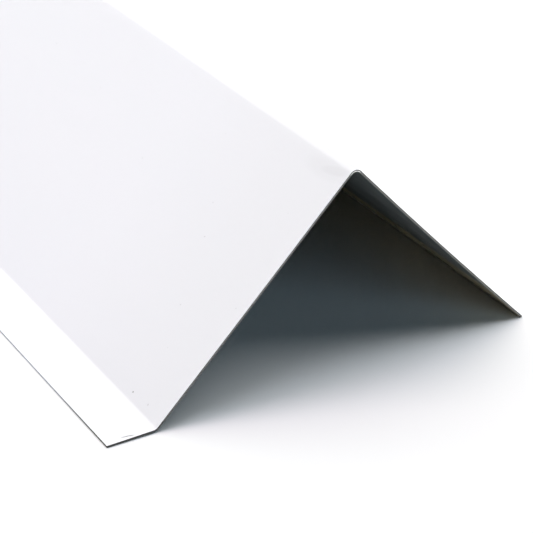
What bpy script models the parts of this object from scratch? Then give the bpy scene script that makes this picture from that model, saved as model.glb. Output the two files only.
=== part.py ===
"""Drip edge flashing: one strip of prepainted steel sheet with two long bends.

The face leans down from the ridge bend, and its foot is kicked out into a narrow drip lip.
The roof flange comes down from the other side of the ridge bend. The stock lies unheld on a
level floor, like a tent, on the edge of its lip and the edge of its flange.

X runs across the stock from the lip to the flange, Y along the stock and Z up. The origin is
on the floor, under the middle of the bounding box.
"""

from math import atan2, ceil, copysign, cos, radians, sin, tan

import bmesh
import bpy
from mathutils import Matrix, Vector

# The sheet and the length that it is cut to, in metres
SHEET_THICKNESS = 0.00055
STOCK_LENGTH = 3.048

# Widths over the painted side, each measured to the sharp corner that its bend rounds off
LIP_WIDTH = 0.0127
FACE_WIDTH = 0.0762
FLANGE_WIDTH = 0.0762

# How far each bend turns the sheet, and the radius on the inner side of the bend
KICK_TURN = radians(44)
KICK_INNER_RADIUS = 0.0015
RIDGE_TURN = radians(92)
RIDGE_INNER_RADIUS = 0.00145

# The most that a bend turns from one of its facets to the next, and the turn that shades sharp
FACET_TURN = radians(8)
SHARP_TURN = radians(30)

# The finish
PAINT_COLOUR = (0.88, 0.88, 0.92, 1.0)
PAINT_ROUGHNESS = 0.4


def along(heading):
    """Unit vector in the section that points along the sheet at a heading."""
    return Vector((cos(heading), sin(heading)))


def painted_normal(heading):
    """Unit vector in the section that points out of the painted side at a heading."""
    return Vector((-sin(heading), cos(heading)))


def flats_and_bends():
    """Each flat, from the lip to the flange, with the bend after it: (width, turn, painted radius).

    The kick is hollow on the painted side, so its inner radius is the painted one. The ridge is
    hollow on the back, so the painted side runs one thickness further out. A bend takes its
    radius times the tangent of half its turn off the flats on both sides of it.
    """
    kick_radius = KICK_INNER_RADIUS
    ridge_radius = RIDGE_INNER_RADIUS + SHEET_THICKNESS
    kick_setback = kick_radius * tan(KICK_TURN / 2)
    ridge_setback = ridge_radius * tan(RIDGE_TURN / 2)
    return [
        (LIP_WIDTH - kick_setback, KICK_TURN, kick_radius),
        (FACE_WIDTH - kick_setback - ridge_setback, -RIDGE_TURN, ridge_radius),
        (FLANGE_WIDTH - ridge_setback, 0.0, 0.0),
    ]


def walk_across(depth):
    """Section points at a depth under the painted side, walked from the lip's edge to the flange's.

    A positive turn bends towards the painted side. The lip starts level at the section's origin.
    """
    heading = 0.0
    here = -depth * painted_normal(heading)
    points = [here.copy()]
    for width, turn, painted_radius in flats_and_bends():
        here = here + width * along(heading)
        points.append(here.copy())
        if turn == 0.0:
            continue
        radius = painted_radius + copysign(depth, turn)
        facets = ceil(abs(turn) / FACET_TURN)
        step = turn / facets
        chord = 2 * radius * sin(abs(step) / 2)
        for _ in range(facets):
            here = here + chord * along(heading + step / 2)
            heading += step
            points.append(here.copy())
    return points


def rest_on_floor(painted, back):
    """Turns both lines until the two back corners of the sheet's edges are level, as on a floor.

    Both lines are then moved so that those corners are at height 0, with the section centred.
    """
    lip_foot = back[0]
    flange_foot = back[-1]
    lean = atan2(flange_foot.y - lip_foot.y, flange_foot.x - lip_foot.x)
    level = Matrix.Rotation(-lean, 2)
    painted = [level @ point for point in painted]
    back = [level @ point for point in back]
    across = [point.x for point in painted + back]
    shift = Vector(((min(across) + max(across)) / 2, back[0].y))
    return [point - shift for point in painted], [point - shift for point in back]


def folded_strip_mesh(name):
    """The section as a ladder of quads between its painted and its back line, extruded along Y."""
    painted, back = rest_on_floor(walk_across(0.0), walk_across(SHEET_THICKNESS))
    near_end = -STOCK_LENGTH / 2
    strip = bmesh.new()
    rungs = [
        [strip.verts.new((point.x, near_end, point.y)) for point in pair]
        for pair in zip(painted, back)
    ]
    for (top, bottom), (next_top, next_bottom) in zip(rungs, rungs[1:]):
        strip.faces.new((top, bottom, next_bottom, next_top))
    extruded = bmesh.ops.extrude_face_region(strip, geom=strip.faces[:])
    far_verts = [item for item in extruded["geom"] if isinstance(item, bmesh.types.BMVert)]
    bmesh.ops.translate(strip, verts=far_verts, vec=(0.0, STOCK_LENGTH, 0.0))
    bmesh.ops.recalc_face_normals(strip, faces=strip.faces[:])
    mesh = bpy.data.meshes.new(name)
    strip.to_mesh(mesh)
    strip.free()
    return mesh


def white_paint():
    """Baked white coil paint with a soft gloss."""
    paint = bpy.data.materials.new("white_coil_paint")
    paint.use_nodes = True
    shader = paint.node_tree.nodes["Principled BSDF"]
    shader.inputs["Base Color"].default_value = PAINT_COLOUR
    shader.inputs["Roughness"].default_value = PAINT_ROUGHNESS
    shader.inputs["Metallic"].default_value = 0.0
    paint.diffuse_color = PAINT_COLOUR
    return paint


for old_object in list(bpy.data.objects):
    bpy.data.objects.remove(old_object, do_unlink=True)

flashing_mesh = folded_strip_mesh("drip_edge_flashing")
flashing_mesh.materials.append(white_paint())
flashing_mesh.shade_smooth()
flashing_mesh.set_sharp_from_angle(angle=SHARP_TURN)

flashing = bpy.data.objects.new("drip_edge_flashing", flashing_mesh)
bpy.context.scene.collection.objects.link(flashing)

# Keeps the flats flat in shading beside their narrow bend facets
flat_shading = flashing.modifiers.new("even_flats", "WEIGHTED_NORMAL")
flat_shading.keep_sharp = True
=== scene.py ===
"""The looks of a length of drip edge flashing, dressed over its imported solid."""

from math import cos, pi, radians, sin, tan

import bpy
import numpy as np
from mathutils import Matrix, Vector


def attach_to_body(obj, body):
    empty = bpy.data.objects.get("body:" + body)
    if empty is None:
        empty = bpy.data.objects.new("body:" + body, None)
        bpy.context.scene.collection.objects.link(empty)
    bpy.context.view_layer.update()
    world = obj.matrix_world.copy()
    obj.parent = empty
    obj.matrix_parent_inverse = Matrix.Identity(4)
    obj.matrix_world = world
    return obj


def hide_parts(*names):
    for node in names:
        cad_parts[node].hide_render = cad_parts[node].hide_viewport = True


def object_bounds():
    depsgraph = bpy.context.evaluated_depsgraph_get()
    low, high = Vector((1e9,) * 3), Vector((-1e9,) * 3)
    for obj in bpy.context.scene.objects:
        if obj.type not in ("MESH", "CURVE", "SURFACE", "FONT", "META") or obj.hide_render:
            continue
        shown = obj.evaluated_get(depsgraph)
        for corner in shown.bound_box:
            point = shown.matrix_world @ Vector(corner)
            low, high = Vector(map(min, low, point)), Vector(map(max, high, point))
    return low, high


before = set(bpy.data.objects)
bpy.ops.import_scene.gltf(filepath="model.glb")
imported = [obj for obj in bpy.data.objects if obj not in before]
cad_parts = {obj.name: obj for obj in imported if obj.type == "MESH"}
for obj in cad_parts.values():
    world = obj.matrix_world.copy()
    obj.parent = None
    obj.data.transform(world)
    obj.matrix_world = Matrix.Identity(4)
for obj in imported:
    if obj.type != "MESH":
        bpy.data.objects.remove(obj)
cad_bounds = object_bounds()

# Folded sheet
# One strip of 26 gauge galvanised steel, slit from painted coil, folded twice along its whole
# length and sheared off at both ends. The edges of its lip and its flange carry it on the floor.
NEAR_END = cad_bounds[0].y
FAR_END = cad_bounds[1].y
LIP_SIDE = cad_bounds[0].x
SHEET_THICKNESS = 0.00055
LIP_WIDTH = 0.0127
FACE_WIDTH = 0.0762
FLANGE_WIDTH = 0.0762
KICK_TURN = radians(44)
KICK_RADIUS = 0.0015
RIDGE_TURN = radians(92)
RIDGE_INSIDE_RADIUS = 0.00145

# The painted side goes round the outside of the ridge and the inside of the kick. A setback is
# how far a bend starts before the sharp corner to which the widths are measured.
RIDGE_RADIUS = RIDGE_INSIDE_RADIUS + SHEET_THICKNESS
KICK_SETBACK = KICK_RADIUS * tan(KICK_TURN / 2)
RIDGE_SETBACK = RIDGE_RADIUS * tan(RIDGE_TURN / 2)
KICK_ARC = KICK_TURN * KICK_RADIUS
RIDGE_ARC = RIDGE_TURN * RIDGE_RADIUS
SHEET_WIDTH = (
    LIP_WIDTH + FACE_WIDTH + FLANGE_WIDTH
    - 2 * (KICK_SETBACK + RIDGE_SETBACK)
    + KICK_ARC
    + RIDGE_ARC
)

# The shear and the slitter roll the painted corner of a cut over a little
CORNER_RADIUS = 0.00004
CORNER_STEPS = 3

# Folded flats are a little hollow on the back, and the free edges of thin stock wave. A wave is
# a sum of sines of unlike lengths and heights, and each place has its own phase.
FACE_HOLLOW = 0.000074
FLANGE_HOLLOW = 0.000298
FACE_WAVE = 0.00005
FACE_PHASE = 1.3
FLANGE_EDGE_LIFT = 0.00005
FLANGE_PHASE = 2.1
LIP_EDGE_LIFT = 0.00004
LIP_PHASE = 4.0
WAVE_LENGTHS = (0.83, 0.37, 0.19, 0.083)
WAVE_HEIGHTS = (1.0, 0.8, 0.5, 0.2)

# Close to both ends the flange's edge sits down on the floor, and the lip springs off it a little
FLANGE_SITS_REACH = 0.50
LIP_END_LIFT = 0.00010
LIP_LIFT_REACH = 0.070

# Rows of the grid crowd towards the sheared ends
ROW_SPACING = 0.016
END_ROWS = 14
END_REACH = 0.040
STEPS_ON_FLAT = 16
STEPS_PER_RADIAN = 30

# Edges that turn by more than this shade as sharp corners
SHARP_TURN = radians(50)


def painted_line():
    """The painted side across the sheet, and where its flats start and stop.

    The line is four arrays: the distance walked from the lip's edge, x, z and the heading. The
    heading stays the same on a flat and grows evenly with the distance on a bend. The chord of
    a step points along the mean of the step's two headings. Steps crowd towards both ends of
    a flat as a half cosine wave does, so that the flats shade flat beside their bends.
    """
    flats = (
        LIP_WIDTH - KICK_SETBACK,
        FACE_WIDTH - KICK_SETBACK - RIDGE_SETBACK,
        FLANGE_WIDTH - RIDGE_SETBACK,
    )
    bends = ((KICK_TURN, KICK_RADIUS), (-RIDGE_TURN, RIDGE_RADIUS), (0.0, 0.0))
    flat_share = (1 - np.cos(np.linspace(0, pi, STEPS_ON_FLAT + 1)[1:])) / 2
    distance = np.zeros(1)
    heading = np.zeros(1)
    spans = []
    for flat, (turn, radius) in zip(flats, bends):
        spans.append((distance[-1], distance[-1] + flat))
        distance = np.append(distance, distance[-1] + flat * flat_share)
        heading = np.append(heading, np.full(STEPS_ON_FLAT, heading[-1]))
        steps = round(abs(turn) * STEPS_PER_RADIAN)
        bend_share = np.linspace(0, 1, steps + 1)[1:]
        distance = np.append(distance, distance[-1] + abs(turn) * radius * bend_share)
        heading = np.append(heading, heading[-1] + turn * bend_share)
    turned = np.diff(heading)
    chord = np.diff(distance) * np.sinc(turned / (2 * pi))
    x = np.append(0.0, np.cumsum(chord * np.cos(heading[:-1] + turned / 2)))
    z = np.append(0.0, np.cumsum(chord * np.sin(heading[:-1] + turned / 2)))
    return (distance, x, z, heading), spans


def at_rest(distance, x, z, heading):
    """The same line turned until the back corners of both free edges lie on the floor."""
    foot_x = x + SHEET_THICKNESS * np.sin(heading)
    foot_z = z - SHEET_THICKNESS * np.cos(heading)
    lean = np.arctan2(foot_z[-1] - foot_z[0], foot_x[-1] - foot_x[0])
    turned_x = x * np.cos(lean) + z * np.sin(lean)
    turned_z = z * np.cos(lean) - x * np.sin(lean)
    lip_foot_z = foot_z[0] * np.cos(lean) - foot_x[0] * np.sin(lean)
    return distance, turned_x - turned_x[0] + LIP_SIDE, turned_z - lip_foot_z, heading - lean


def edge_wave(along, phase):
    """Sines of unlike lengths added together, scaled to 0 to 1, at distances along the stock."""
    lengths = np.array(WAVE_LENGTHS)
    heights = np.array(WAVE_HEIGHTS)
    angles = 2 * pi * along[..., None] / lengths + phase * np.arange(1, len(lengths) + 1)
    return 0.5 + (np.sin(angles) * heights).sum(-1) / heights.sum() / 2


def end_rise(along, reach):
    """1 at a sheared end, falling with the square to 0 at that reach from it."""
    return np.clip(1 - (FAR_END - abs(along)) / reach, 0, 1) ** 2


def row_places():
    """Distances along the stock of the rows, and how far each one shrinks the section.

    From an end, distances grow with the square of the row's number as far as END_REACH, and
    evenly after that. The first rows go round a quarter circle at the painted corner.
    """
    turn = np.linspace(0, pi / 2, CORNER_STEPS + 1)
    corner = CORNER_RADIUS * (1 - np.cos(turn))
    close = END_REACH * (np.arange(1, END_ROWS + 1) / END_ROWS) ** 2
    half = (FAR_END - NEAR_END) / 2
    evenly = np.linspace(END_REACH, half, round((half - END_REACH) / ROW_SPACING) + 1)[1:]
    from_end = np.concatenate([corner, close, evenly])
    shrink = np.zeros(len(from_end))
    shrink[: len(turn)] = CORNER_RADIUS * (1 - np.sin(turn))
    along = np.concatenate([NEAR_END + from_end, FAR_END - from_end[-2::-1]])
    return along, np.concatenate([shrink, shrink[-2::-1]])


def folded_sheet_mesh():
    """The sheet as a closed grid: once round the section, carried along the stock.

    A point is the painted line at a distance across, minus its depth along the painted normal.
    Both corners of a cut are quarter circles in distance and depth. The hollow of a flat is
    a parabola across it. A ladder of quads between the painted side and the back closes each
    free edge and each sheared end.
    """
    line, spans = painted_line()
    line = at_rest(*line)
    width = line[0][-1]
    turn = np.linspace(0, pi / 2, CORNER_STEPS + 1)
    corner = CORNER_RADIUS * (1 - np.cos(turn))
    inset = CORNER_RADIUS * (1 - np.sin(turn))
    across = np.concatenate([corner, line[0][1:-1], width - corner[::-1]])
    depth = np.concatenate([inset, np.zeros(len(line[0]) - 2), inset[::-1]])
    along, shrink = row_places()

    s = np.clip(across[None, :], shrink[:, None], width - shrink[:, None])
    y = np.broadcast_to(along[:, None], s.shape)
    d = np.maximum(depth[None, :], shrink[:, None])
    x, z, heading = (np.interp(s, line[0], values) for values in line[1:])

    lip, face, flange = (np.clip((s - start) / (stop - start), 0, 1) for start, stop in spans)
    bow = 4 * (FACE_HOLLOW * face * (1 - face) + FLANGE_HOLLOW * flange * (1 - flange))
    bow = bow + FACE_WAVE * np.sin(pi * face) ** 2 * (2 * edge_wave(y, FACE_PHASE) - 1)
    sits = 1 - end_rise(y, FLANGE_SITS_REACH)
    bow = bow - FLANGE_EDGE_LIFT * flange**2 * edge_wave(y, FLANGE_PHASE) * sits
    bow = bow - LIP_EDGE_LIFT * (1 - lip) ** 2 * edge_wave(y, LIP_PHASE)
    bow = bow - LIP_END_LIFT * (1 - lip) * end_rise(y, LIP_LIFT_REACH)

    def side(under):
        return np.stack([x + under * np.sin(heading), y, z - under * np.cos(heading)], axis=-1)

    points = np.concatenate([side(d + bow), side(SHEET_THICKNESS - d + bow)]).reshape(-1, 3)
    painted = np.arange(s.size).reshape(s.shape)
    back = painted + s.size

    def quads(*corners):
        return np.stack([corner_numbers.ravel() for corner_numbers in corners], axis=-1)

    faces = [
        quads(painted[:-1, :-1], painted[:-1, 1:], painted[1:, 1:], painted[1:, :-1]),
        quads(back[:-1, :-1], back[1:, :-1], back[1:, 1:], back[:-1, 1:]),
        quads(painted[:-1, 0], painted[1:, 0], back[1:, 0], back[:-1, 0]),
        quads(painted[:-1, -1], back[:-1, -1], back[1:, -1], painted[1:, -1]),
        quads(painted[0, :-1], back[0, :-1], back[0, 1:], painted[0, 1:]),
        quads(painted[-1, :-1], painted[-1, 1:], back[-1, 1:], back[-1, :-1]),
    ]

    # Finishes are numbered as they are added further down: white coat, backer coat, cut edge
    finishes = np.repeat([0, 1, 2, 2, 2, 2], [len(group) for group in faces])
    mesh = bpy.data.meshes.new("flashing_sheet")
    mesh.from_pydata(points, [], np.concatenate(faces))
    mesh.polygons.foreach_set("material_index", finishes)

    # Distance across the sheet from the lip's edge, and depth from the painted side as 0 to 1
    for name, values in (
        ("across", np.tile(s.ravel(), 2)),
        ("through", np.repeat([0.0, 1.0], s.size)),
    ):
        mesh.attributes.new(name, "FLOAT", "POINT").data.foreach_set("value", values)
    return mesh


sheet_mesh = folded_sheet_mesh()
sheet_mesh.shade_smooth()
sheet_mesh.set_sharp_from_angle(angle=SHARP_TURN)
sheet = bpy.data.objects.new("flashing_sheet", sheet_mesh)
bpy.context.scene.collection.objects.link(sheet)
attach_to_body(sheet, "root")
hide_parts("drip_edge_flashing")


# White coil coat
# Baked polyester paint on the weather side of the sheet, put on by roller while the coil is
# flat. It is satin, with a faint roller grain along the stock and a soft orange peel.
WHITE = (0.888, 0.885, 0.936)
WHITE_MOTTLED = (0.895, 0.888, 0.939)
# Painted highlight: the whiter paint along the sheared ends
RIM_HIGHLIGHT_WHITE = (0.930, 0.925, 0.945)
SPECK_DARK = (0.16, 0.15, 0.15)
# The grey of the scuff on the lip, and of the painted shade beside the ridge
SCUFF_AND_SHADE_GREY = (0.30, 0.29, 0.30)
# Painted shade: the greyer white that the coat fades to close to the sheared ends, and how far
# that reaches
END_SHADE_GREY = (0.850, 0.848, 0.887)
END_SHADE_REACH = 0.075
SATIN = 0.35

# A grain is the size of a pattern along X, Y and Z, and a step holds the two values between
# which a blend goes smoothly from 0 to 1
ROLLER_GRAIN = (0.0007, 0.09, 0.0007)
ROLLER_HEIGHT = 0.25
ROLLER_ROUGHENS = 0.08
PEEL_GRAIN = (0.0016, 0.0024, 0.0016)
MOTTLE_GRAIN = (0.035, 0.09, 0.035)
MOTTLE_STEP = (0.35, 0.65)
# Painted highlight along the cut: where it fades in, and how far it whitens the coat
RIM_STEP = (0.00030, 0.00008)
RIM_HIGHLIGHT_SHARE = 0.8

# Dirt specks on the face, measured from its foot and from the near end: across, along, radius,
# and how dark
FACE_FOOT = LIP_WIDTH - KICK_SETBACK + KICK_ARC
FACE_HEAD = FACE_FOOT + FACE_WIDTH - KICK_SETBACK - RIDGE_SETBACK
SPECKS = (
    (0.0017, 0.0147, 0.00022, 0.80),
    (0.0021, 0.0076, 0.00028, 0.20),
    (0.0409, 0.0286, 0.00017, 0.35),
    (0.0486, 0.0340, 0.00019, 0.20),
    (0.0247, 0.0203, 0.00018, 0.25),
    (0.0462, 0.0682, 0.00020, 0.20),
    (0.0539, 0.1029, 0.00018, 0.15),
    (0.0327, 0.0035, 0.00016, 0.22),
    (0.0151, 0.0145, 0.00014, 0.18),
    (0.0576, 0.0092, 0.00014, 0.15),
    (0.0640, 0.0465, 0.00014, 0.15),
)

# Scattered specks: their spacing, their rim and solid middle as shares of it, how far from
# a sheared end they start, and how dark they are
SCATTER_SPACING = 0.031
SCATTER_STEP = (0.0062, 0.0030)
SCATTER_FROM_END = (0.11, 0.12)
SCATTER_DEPTH = 0.35

# Soft marks: the middle, across from the lip's edge and along from the near end, the half
# sizes that way, and the turn
# Painted shade: two soft darker marks on the face beside the ridge
RIDGE_SHADE_MARK = ((FACE_HEAD - 0.0015, 0.0046), 0.0012, 0.0050, radians(14))
RIDGE_SHADE_MARK_DEPTH = 0.07
RIDGE_SHADE_HAZE = ((FACE_HEAD - 0.0022, 0.0076), 0.0026, 0.0080, radians(6))
RIDGE_SHADE_HAZE_DEPTH = 0.05
SCUFF = ((0.0059, 0.00102), 0.0016, 0.00024, radians(-11))
SCUFF_GRAIN = (0.0011, 0.00025, 1.0)
SCUFF_STEP = (0.20, 0.5)
SCUFF_ROUGHENS = 0.15

# A mark fades from its rim to its solid middle, given here as shares of its half sizes
MARK_STEP = (1.3, 0.6)


class Wire:
    """One output of a shader node, on which Python's own operators work.

    An operator adds a Math node and gives its output back as a new wire. The other side of it
    may be a number or a wire.
    """

    def __init__(self, tree, socket=None):
        self.tree = tree
        self.socket = socket

    def node(self, kind, settings, inputs, output=0):
        """Adds a node: first its settings, then the values or wires of its inputs.

        Inputs and the output go by their name or their number among those in use.
        """
        added = self.tree.nodes.new(kind)
        for name, value in settings.items():
            setattr(added, name, value)
        for name, value in inputs.items():
            target = pick(added.inputs, name)
            if isinstance(value, Wire):
                self.tree.links.new(value.socket, target)
            else:
                target.default_value = value
        return Wire(self.tree, pick(added.outputs, output))

    def math(self, operation, *sides):
        return self.node("ShaderNodeMath", {"operation": operation}, dict(enumerate(sides)))

    def __add__(self, other):
        return self.math("ADD", self, other)

    def __sub__(self, other):
        return self.math("SUBTRACT", self, other)

    def __rsub__(self, other):
        return self.math("SUBTRACT", other, self)

    def __mul__(self, other):
        return self.math("MULTIPLY", self, other)

    def __abs__(self):
        return self.math("ABSOLUTE", self)

    __radd__ = __add__
    __rmul__ = __mul__

    def most(self, other):
        return self.math("MAXIMUM", self, other)

    def step(self, low, high):
        """A smooth step from 0 where the wire is at low to 1 where it is at high."""
        return self.node(
            "ShaderNodeMapRange",
            {"interpolation_type": "SMOOTHSTEP"},
            {"Value": self, "From Min": low, "From Max": high},
        )

    def attribute(self, name):
        return self.node("ShaderNodeAttribute", {"attribute_name": name}, {}, "Fac")

    def object_place(self):
        return self.node("ShaderNodeTexCoord", {}, {}, "Object")

    def along(self):
        """The distance along the stock, where the wire is a place on the sheet."""
        return self.node("ShaderNodeSeparateXYZ", {}, {"Vector": self}, "Y")

    def from_end(self):
        """Distance from the nearer sheared end, where the wire is a place on the sheet."""
        return FAR_END - abs(self.along())

    def noise(self, grain, detail=2.0):
        """Noise over the wire's vector, with a grain of the given size along X, Y and Z."""
        scale = tuple(1 / size for size in grain)
        stretched = self.node("ShaderNodeMapping", {}, {"Vector": self, "Scale": scale})
        return self.node(
            "ShaderNodeTexNoise", {}, {"Vector": stretched, "Scale": 1.0, "Detail": detail}
        )

    def mark(self, place, centre, half_across, half_along, turn=0.0):
        """1 inside an ellipse on the wire's vector, falling softly to 0 at its rim."""
        centred = self.node(
            "ShaderNodeMapping",
            {"vector_type": "TEXTURE"},
            {
                "Vector": place,
                "Location": (*centre, 0.0),
                "Rotation": (0.0, 0.0, turn),
                "Scale": (half_across, half_along, 1.0),
            },
        )
        reach = self.node(
            "ShaderNodeVectorMath", {"operation": "LENGTH"}, {0: centred}, "Value"
        )
        return reach.step(*MARK_STEP)

    def blend(self, under, over):
        """The colour under where the wire is 0 and the colour over where it is 1."""
        return self.node(
            "ShaderNodeMix",
            {"data_type": "RGBA"},
            {"Factor": self, "A": colour(under), "B": colour(over)},
            "Result",
        )


def pick(sockets, name):
    """The socket of that name or number among those that the node has in use."""
    used = [socket for socket in sockets if socket.enabled]
    if isinstance(name, int):
        return used[name]
    return next(socket for socket in used if socket.name == name)


def colour(value):
    """A wire as it is, and red, green and blue with an alpha of 1."""
    return value if isinstance(value, Wire) else (*value, 1.0)


def new_finish(name, constants):
    """A material with its constants set on its own shader, and the start of its wires."""
    material = bpy.data.materials.new(name)
    material.use_nodes = True
    shader = material.node_tree.nodes["Principled BSDF"]
    for socket, value in constants.items():
        shader.inputs[socket].default_value = value
    return material, shader, Wire(material.node_tree)


def attach(shader, wires):
    """Links each wire to the shader's socket of that name."""
    for name, wire in wires.items():
        wire.tree.links.new(wire.socket, shader.inputs[name])


def white_coil_coat():
    material, shader, start = new_finish("white_coil_coat", {"IOR": 1.5})
    place = start.object_place()
    from_end = place.from_end()
    on_sheet = start.node(
        "ShaderNodeCombineXYZ",
        {},
        {"X": start.attribute("across"), "Y": place.along() - NEAR_END},
    )

    grain = place.noise(ROLLER_GRAIN, 3.0)
    peel = place.noise(PEEL_GRAIN)
    coat = place.noise(MOTTLE_GRAIN).step(*MOTTLE_STEP).blend(WHITE, WHITE_MOTTLED)

    # Painted shade: the paint is greyed a little towards the ends
    coat = from_end.step(END_SHADE_REACH, 0.0).blend(coat, END_SHADE_GREY)

    # A painted highlight: the paint is whiter along the cut, where its rolled-over corner catches
    # the light
    coat = (from_end.step(*RIM_STEP) * RIM_HIGHLIGHT_SHARE).blend(coat, RIM_HIGHLIGHT_WHITE)

    # Specks at the near end where they were seen, and a few more scattered further along
    dirt = None
    for speck_across, speck_along, radius, depth in SPECKS:
        centre = (FACE_FOOT + speck_across, speck_along)
        speck = start.mark(on_sheet, centre, radius, radius) * depth
        dirt = speck if dirt is None else dirt.most(speck)
    cells = start.node(
        "ShaderNodeTexVoronoi",
        {"voronoi_dimensions": "2D"},
        {"Vector": on_sheet, "Scale": 1 / SCATTER_SPACING},
        "Distance",
    )
    scattered = cells.step(*SCATTER_STEP) * from_end.step(*SCATTER_FROM_END) * SCATTER_DEPTH
    coat = dirt.most(scattered).blend(coat, SPECK_DARK)

    # Painted shade: two soft darker marks on the face beside the ridge, at the near end
    shade_mark = start.mark(on_sheet, *RIDGE_SHADE_MARK) * RIDGE_SHADE_MARK_DEPTH
    shade_haze = start.mark(on_sheet, *RIDGE_SHADE_HAZE) * RIDGE_SHADE_HAZE_DEPTH
    coat = (shade_mark + shade_haze).blend(coat, SCUFF_AND_SHADE_GREY)

    # A scuff on the lip, close to the near end
    scuff = start.mark(on_sheet, *SCUFF)
    streaks = on_sheet.noise(SCUFF_GRAIN).step(*SCUFF_STEP)
    coat = (scuff * streaks).blend(coat, SCUFF_AND_SHADE_GREY)

    attach(
        shader,
        {
            "Base Color": coat,
            "Roughness": SATIN + (grain - 0.5) * ROLLER_ROUGHENS + scuff * SCUFF_ROUGHENS,
            "Normal": start.node(
                "ShaderNodeBump",
                {},
                {"Strength": 0.06, "Distance": 0.0004, "Height": grain * ROLLER_HEIGHT + peel},
                "Normal",
            ),
        },
    )
    return material


sheet_mesh.materials.append(white_coil_coat())


# Grey backer coat
# A thin dark grey wash on the side that faces the roof, rolled on in the same pass. It is so
# thin that the roller's lines show. A lighter olive strip along the flange's edge is painted
# light, a line of light under that edge, and it is painted darker as shade close to the sheared
# ends.
BACKER = (0.095, 0.108, 0.112)
BACKER_THIN = (0.130, 0.142, 0.140)
BACKER_SCRATCH = (0.21, 0.22, 0.22)
BACKER_FLAT = 0.38
LINE_GRAIN = (0.0012, 0.30, 0.0012)
LINE_SHARE = 0.6
CLOUD_GRAIN = (0.012, 0.05, 0.012)
THIN_STEP = (0.42, 0.68)
THIN_SMOOTHS = 0.08
RUB_GRAIN = (0.00035, 0.022, 0.00035)
RUB_STEP = (0.71, 0.76)
RUB_DEPTH = 0.5
RUB_SMOOTHS = 0.1
# Painted light: the olive strip along the flange's edge, and its painted shade close to the ends
OLIVE_LEAK_LIGHT = (0.70, 0.61, 0.41)
SHADED_LEAK_LIGHT = (0.36, 0.32, 0.22)
LEAK_STRIP_STEP = (SHEET_WIDTH - 0.019, SHEET_WIDTH - 0.012)
LEAK_SHADE_STEP = (0.005, 0.045)


def grey_backer_coat():
    material, shader, start = new_finish("grey_backer_coat", {"IOR": 1.45})
    place = start.object_place()
    lines = place.noise(LINE_GRAIN, 3.0)
    cloud = place.noise(CLOUD_GRAIN, 3.0)
    thin = (lines * LINE_SHARE + cloud * (1 - LINE_SHARE)).step(*THIN_STEP)
    coat = thin.blend(BACKER, BACKER_THIN)
    rubs = place.noise(RUB_GRAIN, 1.0).step(*RUB_STEP)
    coat = (rubs * RUB_DEPTH).blend(coat, BACKER_SCRATCH)
    # Painted light along the flange's edge, with painted shade close to the sheared ends
    leak_strip = place.from_end().step(*LEAK_SHADE_STEP).blend(SHADED_LEAK_LIGHT, OLIVE_LEAK_LIGHT)
    coat = start.attribute("across").step(*LEAK_STRIP_STEP).blend(coat, leak_strip)
    attach(
        shader,
        {
            "Base Color": coat,
            "Roughness": BACKER_FLAT - thin * THIN_SMOOTHS - rubs * RUB_SMOOTHS,
            "Normal": start.node(
                "ShaderNodeBump",
                {},
                {"Strength": 0.10, "Distance": 0.0002, "Height": lines},
                "Normal",
            ),
        },
    )
    return material


sheet_mesh.materials.append(grey_backer_coat())


# Bare cut edges
# The shear leaves a narrow band on the cut that the blade rubbed, and then grey torn steel. A
# near-black line on the outer side of the cut is painted shade, and a near-white glint on the
# rubbed band round the ridge is a painted highlight. The slit edges of the lip and the flange
# are lighter and bluer, and darker close to the sheared ends.
TORN_STEEL = (0.075, 0.070, 0.063)
TORN_GRAIN = (0.00012, 0.00012, 0.00012)
TORN_ROUGH = 0.62
RUBBED_STEEL = (0.27, 0.265, 0.255)
RUBBED_SMOOTHS = 0.27
# Painted highlight: a near-white glint on the cut round the ridge
RIDGE_GLINT = (0.92, 0.91, 0.88)
# Painted shade: the near-black line along the outer side of the cut
SHADE_LINE_DARK = (0.018, 0.017, 0.016)
SLIT_STEEL = (0.43, 0.45, 0.51)
SLIT_LIGHTENS_STEP = (0.002, 0.035)
RIDGE_MIDDLE = SHEET_WIDTH - FLANGE_WIDTH + RIDGE_SETBACK - RIDGE_ARC / 2

# Bands across the cut, as shares of the sheet's thickness from its painted side, and how far
# their rims wander
SHADE_LINE_STEP = (0.48, 0.40)
RUBBED_FROM = (0.42, 0.52)
RUBBED_TO = (0.86, 0.74)
GLINT_FROM = (0.46, 0.54)
GLINT_TO = (0.98, 0.90)
WANDER = 0.12
WANDERS_PER_METRE = 1400.0

# Where along the section the rubbed band starts, and how far the painted glint reaches round the
# ridge
PAST_LIP_STEP = (FACE_FOOT, FACE_FOOT + 0.005)
ON_RIDGE_STEP = (0.0022, 0.0012)


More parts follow.
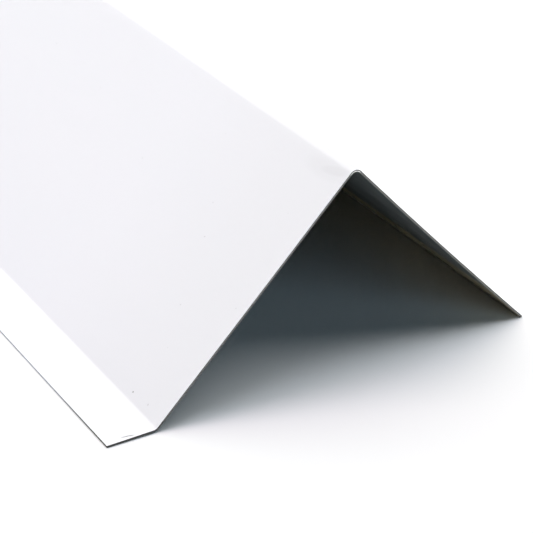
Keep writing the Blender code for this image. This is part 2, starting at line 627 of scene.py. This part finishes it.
def bare_cut_edge():
    material, shader, start = new_finish("bare_cut_edge", {"Metallic": 0.6})
    place = start.object_place()
    from_end = place.from_end()
    across = start.attribute("across")
    through = start.attribute("through")
    wander = start.node(
        "ShaderNodeTexNoise",
        {"noise_dimensions": "1D"},
        {"W": across + from_end, "Scale": WANDERS_PER_METRE, "Detail": 2.0},
    )
    depth = through + (wander - 0.5) * WANDER
    rubbed = depth.step(*RUBBED_FROM) * depth.step(*RUBBED_TO) * across.step(*PAST_LIP_STEP)
    metal = rubbed.blend(TORN_STEEL, RUBBED_STEEL)
    # Painted shade: a near-black line on the outer side of the cut
    metal = through.step(*SHADE_LINE_STEP).blend(metal, SHADE_LINE_DARK)
    # A painted highlight: a near-white glint on the rubbed band round the ridge
    on_ridge = abs(across - RIDGE_MIDDLE).step(*ON_RIDGE_STEP)
    glint = depth.step(*GLINT_FROM) * depth.step(*GLINT_TO) * on_ridge
    metal = glint.blend(metal, RIDGE_GLINT)

    # The slit edges are lighter and bluer than the sheared ends, and darker only close to them
    metal = from_end.step(*SLIT_LIGHTENS_STEP).blend(metal, SLIT_STEEL)
    attach(
        shader,
        {
            "Base Color": metal,
            "Roughness": TORN_ROUGH - rubbed * RUBBED_SMOOTHS,
            "Normal": start.node(
                "ShaderNodeBump",
                {},
                {
                    "Strength": 0.35,
                    "Distance": 0.00004,
                    "Height": place.noise(TORN_GRAIN, 3.0),
                },
                "Normal",
            ),
        },
    )
    return material


sheet_mesh.materials.append(bare_cut_edge())


# Floor
# A plain white sheet of card that runs out of sight on all sides. It belongs to the studio and
# not to the stock, and it keeps the stock's shadow.
FLOOR_WHITE = (0.975, 0.975, 0.975, 1.0)
FLOOR_SIZE = 60.0


def white_floor():
    material, _, _ = new_finish(
        "white_floor",
        {"Base Color": FLOOR_WHITE, "Roughness": 1.0, "Specular IOR Level": 0.0},
    )
    return material


bpy.ops.mesh.primitive_plane_add(size=FLOOR_SIZE)
floor = bpy.context.object
floor.name = "floor"
floor.data.materials.append(white_floor())


# Light
# A very broad lamp above and behind the stock, three smaller ones over it, a weak one low behind
# and a bluish fill low in front. Each row is a lamp's name, bearing, height and breadth in
# degrees, strength and colour.
LAMPS = (
    ("behind", 0, 60, 90, 0.579, (0.943, 1.0, 0.858)),
    ("low_behind", 330, 25, 30, 0.029, (0.35, 0.86, 1.0)),
    ("overhead", 0, 90, 30, 0.172, (0.727, 0.75, 1.0)),
    ("left", 300, 62, 30, 0.316, (1.0, 0.807, 0.851)),
    ("right", 120, 62, 30, 0.255, (0.933, 0.976, 1.0)),
    ("low_fill", 160, 8, 40, 0.253, (0.573, 0.826, 1.0)),
)
for name, bearing, rise, breadth, strength, tint in LAMPS:
    lamp = bpy.data.lights.new(name, "SUN")
    lamp.energy = strength * pi
    lamp.angle = radians(breadth)
    lamp.color = tint
    lamp_object = bpy.data.objects.new(name, lamp)
    bpy.context.scene.collection.objects.link(lamp_object)
    level = cos(radians(rise))
    towards = Vector(
        (sin(radians(bearing)) * level, cos(radians(bearing)) * level, sin(radians(rise)))
    )
    lamp_object.rotation_euler = towards.to_track_quat("Z", "Y").to_euler()

# The world shows as white, and gives no light of its own
world = bpy.data.worlds.new("studio")
bpy.context.scene.world = world
world.use_nodes = True
sky = Wire(world.node_tree)
shown = (
    sky.node("ShaderNodeLightPath", {}, {}, "Is Camera Ray")
    .most(sky.node("ShaderNodeLightPath", {}, {}, "Is Glossy Ray"))
    .most(sky.node("ShaderNodeLightPath", {}, {}, "Is Transmission Ray"))
)
backdrop = world.node_tree.nodes["Background"]
backdrop.inputs["Color"].default_value = (1.0, 1.0, 1.0, 1.0)
world.node_tree.links.new(shown.socket, backdrop.inputs["Strength"])


# Camera
# A long lens held to the left of the near end, looking down along the stock. The sensor is in
# millimetres, and the focal length in pixels of the picture.
SENSOR = 36.0
PICTURE_WIDTH = 533
FOCAL_PIXELS = 1891.44
CAMERA_FROM_LIP = -0.152819
CAMERA_BEFORE_END = 0.326264
CAMERA_HEIGHT = 0.243802
CAMERA_BEARING = radians(30.8554)
CAMERA_PITCH = radians(28.6950)
CAMERA_ROLL = radians(0.3735)
lens = bpy.data.cameras.new("camera")
lens.sensor_width = SENSOR
lens.lens = FOCAL_PIXELS / PICTURE_WIDTH * SENSOR
lens.clip_start = 0.01
lens.clip_end = 100.0
camera = bpy.data.objects.new("camera", lens)
bpy.context.scene.collection.objects.link(camera)
camera.matrix_world = (
    Matrix.Translation(
        Vector((LIP_SIDE + CAMERA_FROM_LIP, NEAR_END - CAMERA_BEFORE_END, CAMERA_HEIGHT))
    )
    @ Matrix.Rotation(-CAMERA_BEARING, 4, "Z")
    @ Matrix.Rotation(pi / 2 - CAMERA_PITCH, 4, "X")
    @ Matrix.Rotation(CAMERA_ROLL, 4, "Z")
)
bpy.context.scene.camera = camera

bpy.context.scene.view_settings.view_transform = "Standard"
